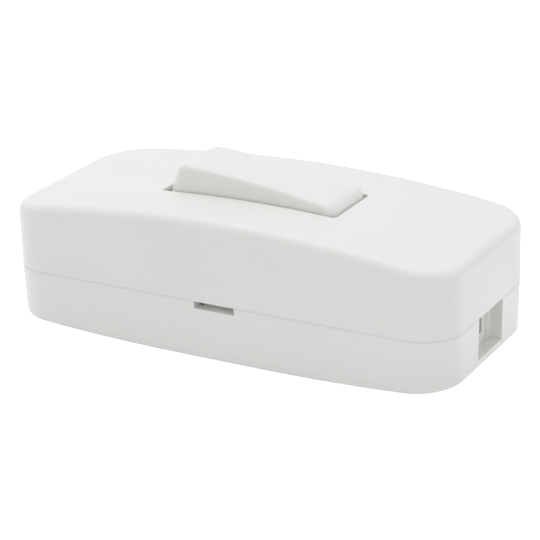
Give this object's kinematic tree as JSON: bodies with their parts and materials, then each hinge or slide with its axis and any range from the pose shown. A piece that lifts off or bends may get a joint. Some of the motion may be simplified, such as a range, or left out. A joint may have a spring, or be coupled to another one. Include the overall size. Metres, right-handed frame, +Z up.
{
  "type": "inline cord switch",
  "caption": "In-line cord switch: two-part housing with arched top and cable inlets, tilting rocker, see-saw contact blades, box terminals and cord clamps.",
  "frame": {"origin": "middle of the housing's outline in plan, on the surface that the base's flat land rests on", "axes": "+X along the switch towards the load end, +Y across it towards the rear side, +Z up out of the rocker"},
  "size_m": [0.08, 0.0346, 0.0279],
  "materials": {
    "white_moulding": "fine satin moulded thermoplastic",
    "white_rocker": "satin moulded thermoplastic",
    "white_clamp": "plain moulded thermoplastic",
    "natural_plastic": "natural acetal",
    "spring_steel": "drawn spring wire",
    "brass": "rolled strip",
    "terminal_brass": "machined",
    "contact_silver": "fine silver",
    "plated_steel": "zinc plated"
  },
  "bodies": {
    "housing": {"base_shell": "white_moulding", "upper_cover": "white_moulding", "front_fixed_contact": "contact_silver", "rear_fixed_contact": "contact_silver", "front_fulcrum_strip": "brass", "rear_fulcrum_strip": "brass", "front_contact_strip": "brass", "rear_contact_strip": "brass", "front_supply_terminal": "terminal_brass", "rear_supply_terminal": "terminal_brass", "front_load_terminal": "terminal_brass", "rear_load_terminal": "terminal_brass", "front_supply_screw": "plated_steel", "rear_supply_screw": "plated_steel", "front_load_screw": "plated_steel", "rear_load_screw": "plated_steel", "front_supply_clamp_screw": "plated_steel", "rear_supply_clamp_screw": "plated_steel", "front_load_clamp_screw": "plated_steel", "rear_load_clamp_screw": "plated_steel", "supply_cord_clamp": "white_clamp", "load_cord_clamp": "white_clamp"},
    "rocker": {"rocker": "white_rocker", "front_spring": "spring_steel", "rear_spring": "spring_steel"},
    "front_plunger": {"front_plunger": "natural_plastic"},
    "rear_plunger": {"rear_plunger": "natural_plastic"},
    "front_blade": {"front_blade": "brass", "front_moving_contact": "contact_silver"},
    "rear_blade": {"rear_blade": "brass", "rear_moving_contact": "contact_silver"}
  },
  "joints": [
    {"name": "rocker_tilt", "type": "hinge", "parent": "housing", "child": "rocker", "pos_m": [0, 0, 0.016], "axis": [0, -1, 0], "range_deg": [0, 14.2]},
    {"name": "front_plunger_slide", "type": "slide", "parent": "rocker", "child": "front_plunger", "axis": [0.1236, 0, 0.9923], "range_m": [0, 0.0005], "stiffness_N_per_m": 400, "deforming": ["front_spring"]},
    {"name": "rear_plunger_slide", "type": "slide", "parent": "rocker", "child": "rear_plunger", "axis": [0.1236, 0, 0.9923], "range_m": [0, 0.0005], "stiffness_N_per_m": 400, "deforming": ["rear_spring"]},
    {"name": "front_blade_tilt", "type": "hinge", "parent": "housing", "child": "front_blade", "pos_m": [0, -0.003, 0.00566], "axis": [0, 1, 0], "range_deg": [0, 14]},
    {"name": "rear_blade_tilt", "type": "hinge", "parent": "housing", "child": "rear_blade", "pos_m": [0, 0.003, 0.00566], "axis": [0, 1, 0], "range_deg": [0, 14]}
  ],
  "couplings": [
    {"joint": "front_blade_tilt", "follows": "rocker_tilt", "ratio": 0.98591},
    {"joint": "rear_blade_tilt", "follows": "rocker_tilt", "ratio": 0.98591}
  ]
}
